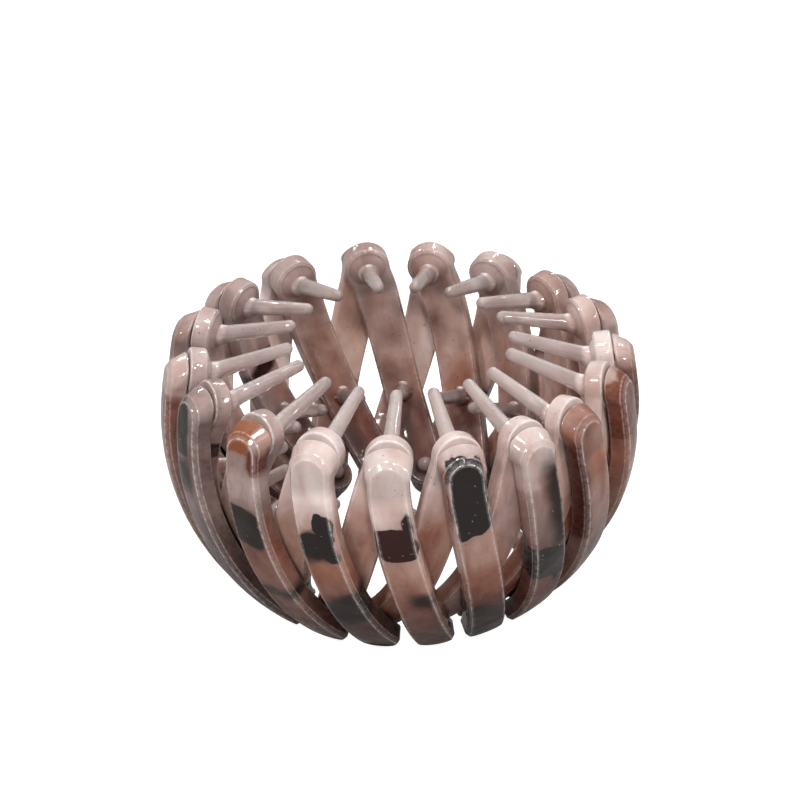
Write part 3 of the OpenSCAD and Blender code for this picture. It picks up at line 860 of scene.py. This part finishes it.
def finish_piece(kind, i, mesh, line):
    """Stores each point's place and colours as attributes, and hands the piece to the frame."""
    number = i + 1
    name = f"{kind}_strip_{number:02d}"
    where = strip_places(line, vertex_rows(mesh))
    inside, red, soft = darkness_at(kind, number, where[:, 0], where[:, 1])
    warmth, tint = drift_at(kind, number, where[:, 0])
    inner = kind == "inner"
    tooth = np.clip((TOOTH_UNDER_R - where[:, 2]) / TOOTH_BORDER, 0, 1) if inner else np.zeros(len(where))
    top_clear = np.clip((TOP_CLOUDED_AT - where[:, 0]) / TOP_CLOUDS_OVER, 0, TOP_CLEAR)
    shift = np.array([NOISE_STEP * number + (INNER_NOISE_STEP if inner else 0.0), 0, 0])
    stored_rows = dict(warmth=warmth * (1 - 0.85 * tooth), tint=tint * (1 - 0.6 * tooth),
                       dark=np.where(tooth > 0.5, -FAR_OFF, inside), red=red, soft=soft,
                       clear=np.maximum(TOOTH_CLEAR * tooth, top_clear))
    for attribute, values in stored_rows.items():
        add_attribute(mesh, attribute, "FLOAT", values)
    add_attribute(mesh, "place", "FLOAT_VECTOR", where + shift)
    mesh.shade_smooth()
    mesh.set_sharp_from_angle(angle=SHARP_OVER)
    mesh.materials.clear()
    mesh.materials.append(PLASTIC)
    piece = bpy.data.objects.new("moulded_" + name, mesh)
    bpy.context.scene.collection.objects.link(piece)
    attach(piece, "root")
    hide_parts(name)
    return piece


print("points under", TOOTH_UNDER_R, "mm from the centre count as tooth")

# %% Make one strip
# the short peg under the bottom crossing
PEG = dict(length=2.4, root_r=1.6, tip_r=1.55, flare=0.5, flare_l=0.8)


def knob_axis(i):
    """Foot and direction of the line through a knob's pin: square to the straight arm."""
    return ARM_L * climb(knob(i), ARM_LAT), direction(knob(i), ARM_LAT)


def outer_strip(i):
    """Outer strip i: a bar with a pocket under its knob and one at each of its two crossings."""
    line = outer_line(i)
    bar = bar_mesh("bar", line, OUTER, nearest_s(line, low(i)), OUTER_PROFILE)
    pockets = [turned("pocket", pocket_rows(KNOB_POCKET_DEEP), *knob_axis(i))]
    pockets += [turned("pocket", pocket_rows(POCKET_DEEP), np.zeros(3), at) for at in (mid(i), low(i))]
    return finish_piece("outer", i, combined(bar, pockets, "DIFFERENCE"), line)


def inner_strip(i):
    """Inner strip i: a bar with its knob, three pins, two long teeth and a peg. A tooth runs from its
    root to a tip at a given distance from the bowl's axis and height, turned a little so that the teeth
    pass each other."""
    line = inner_line(i)
    middle, bottom = mid(i - 1), low(i - 2)
    bar = bar_mesh("bar", line, INNER, nearest_s(line, bottom), INNER_PROFILE)
    foot, axis = knob_axis(i)
    parts = [turned("knob", button_rows(), foot, axis, 48, BUTTON_HIGHLIGHT_CORNERS),
             turned("pin", pin_rows(KNOB_POCKET_DEEP), foot, axis)]
    parts += [turned("pin", pin_rows(POCKET_DEEP), np.zeros(3), at) for at in (middle, bottom)]
    top_root = foot + DOME_POLE_R * axis
    top_tip = TOP_TIP[0] * direction(knob(i) + TIP_TURN, 0.0) + np.array([0, 0, TOP_TIP[1]])
    level = unit(middle * np.array([1, 1, 0]))
    beside = np.array([-level[1], level[0], 0])
    mid_root = INNER["r_in"] * middle
    mid_tip = MID_TIP[0] * (level + np.sin(np.radians(TIP_TURN)) * beside) + np.array([0, 0, MID_TIP[1]])
    for root, tip in ((top_root, top_tip), (mid_root, mid_tip)):
        parts.append(turned("tooth", tooth_rows(np.linalg.norm(tip - root)), root, tip - root, painted_streaks=True))
    parts.append(turned("peg", tooth_rows(**PEG), INNER["r_in"] * bottom, -bottom))
    return finish_piece("inner", i, combined(bar, parts, "UNION"), line)


print("upper teeth end", TOP_TIP, "mm from the axis and over the centre")

# %% Make all strips
pieces = [outer_strip(i) for i in range(COUNT)] + [inner_strip(i) for i in range(COUNT)]
triangles = sum(len(polygon.vertices) - 2 for piece in pieces for polygon in piece.data.polygons)
print(len(pieces), "pieces,", triangles, "triangles")

# %% [markdown]
# ## Floor and tent
# In a product photograph of this kind the card under the object is burnt out to white, though it throws
# only a little light back onto it. Here the card is a soft grey that the plastic reflects, and the
# picture gets the missing white from a glow that only camera rays meet, so it never shows as haze on the
# dark plastic. The tent is bright above and dim at its sides, which keeps the colours deep.

# %% The floor card
FLOOR_HALF = 3.0
BURNT_OUT = 0.92
floor_mesh = bpy.data.meshes.new("floor")
corners = [(x * FLOOR_HALF, y * FLOOR_HALF, 0) for x, y in ((-1, -1), (1, -1), (1, 1), (-1, 1))]
floor_mesh.from_pydata(corners, [], [(0, 1, 2, 3)])
floor = bpy.data.objects.new("floor", floor_mesh)
card = bpy.data.materials.new("matte_white_card")
card.use_nodes = True
card.node_tree.nodes.clear()
ray = add(card.node_tree, "LightPath")
seen_white = add(card.node_tree, "Math", {"operation": "MULTIPLY"}, i0=ray.outputs["Is Camera Ray"],
                 i1=BURNT_OUT)
card_shader = add(card.node_tree, "BsdfPrincipled", None, Base_Color=srgb("#9A9998"), Roughness=0.8,
                  Specular_IOR_Level=0.2, Emission_Color=(1.0, 1.0, 0.99, 1.0),
                  Emission_Strength=seen_white.outputs[0])
add(card.node_tree, "OutputMaterial", None, Surface=card_shader.outputs["BSDF"])
floor_mesh.materials.append(card)
bpy.context.scene.collection.objects.link(floor)
print("floor card", 2 * FLOOR_HALF, "m wide")

# %% The tent
TENT_SIDES, TENT_TOP = 0.16, 0.62
world = bpy.data.worlds.new("white_tent")
world.use_nodes = True
world.node_tree.nodes.clear()
sky = add(world.node_tree, "TexCoord")
up = add(world.node_tree, "SeparateXYZ", None, Vector=sky.outputs["Generated"])
tent = add(world.node_tree, "MapRange", {"interpolation_type": "SMOOTHSTEP"}, Value=up.outputs["Z"],
           From_Min=0.1, From_Max=0.95, To_Min=TENT_SIDES, To_Max=TENT_TOP)
light = add(world.node_tree, "Background", None, Color=(1.0, 0.99, 0.98, 1.0),
            Strength=tent.outputs["Result"])
add(world.node_tree, "OutputWorld", None, Surface=light.outputs["Background"])
bpy.context.scene.world = world
print("the tent's brightness goes from", TENT_SIDES, "to", TENT_TOP)

# %% [markdown]
# ## Lamps
# A polished plastic shows its lamps as crisp spots and lines on every rounded edge. Large panels would
# make them wide and dull. So five small soft boxes stand round the clip, and four smaller lamps add a
# second line here and there, as in the photograph.

# %% Soft boxes
# name, place in metres, width in metres, power in watts
SOFT_BOXES = [
    ("box_above", (-0.05, -0.12, 0.65), 0.1, 1.6),
    ("box_left", (-0.45, -0.45, 0.62), 0.11, 2.6),
    ("box_right", (0.6, -0.3, 0.4), 0.09, 1.6),
    ("box_behind", (0.15, 0.6, 0.6), 0.1, 1.8),
    ("box_front", (0.1, -0.6, 0.6), 0.09, 1.6),
    ("small_lamp_1", (-0.7, -0.1, 0.3), 0.05, 0.5),
    ("small_lamp_2", (0.25, -0.4, 0.75), 0.05, 0.5),
    ("small_lamp_3", (-0.35, 0.55, 0.4), 0.05, 0.5),
    ("small_lamp_4", (0.45, 0.4, 0.5), 0.05, 0.5),
]
bowl_centre = (0.0, 0.0, CENTRE_Z * MM)
for name, at, width, watts in SOFT_BOXES:
    lamp = bpy.data.lights.new(name, "AREA")
    lamp.size = width
    lamp.energy = watts
    box = bpy.data.objects.new(name, lamp)
    box.location = at
    box.rotation_euler = (Vector(bowl_centre) - Vector(at)).to_track_quat("-Z", "Y").to_euler()
    bpy.context.scene.collection.objects.link(box)
print(len(SOFT_BOXES), "lamps aimed at", bowl_centre)

# %% [markdown]
# ## Camera
# The photograph was taken from straight in front and above. The camera stands 750 mm from the bowl's
# centre, 29.5 degrees above the horizon, and looks past the centre by a hair, so that the clip lies where
# it does in the photograph. Its long lens is what a product photographer would take for a thing this
# small.

# %% Camera
CAMERA_DISTANCE = 0.750
CAMERA_HEIGHT_ANGLE = np.radians(29.5)
CAMERA_LENS = 179.6
SEEN_ABOVE_CENTRE = 0.00162
camera_data = bpy.data.cameras.new("camera")
camera_data.lens = CAMERA_LENS
camera_data.sensor_width = 36.0
camera_data.sensor_fit = "HORIZONTAL"
camera = bpy.data.objects.new("camera", camera_data)
camera.location = (0.0, -CAMERA_DISTANCE * np.cos(CAMERA_HEIGHT_ANGLE),
                   bowl_centre[2] + CAMERA_DISTANCE * np.sin(CAMERA_HEIGHT_ANGLE))
tilt = CAMERA_HEIGHT_ANGLE - SEEN_ABOVE_CENTRE / CAMERA_DISTANCE
camera.rotation_euler = (np.pi / 2 - tilt, 0.0, 0.0)
bpy.context.scene.collection.objects.link(camera)
bpy.context.scene.camera = camera
bpy.context.scene.view_settings.view_transform = "Standard"
print("camera at", [round(c, 3) for c in camera.location])
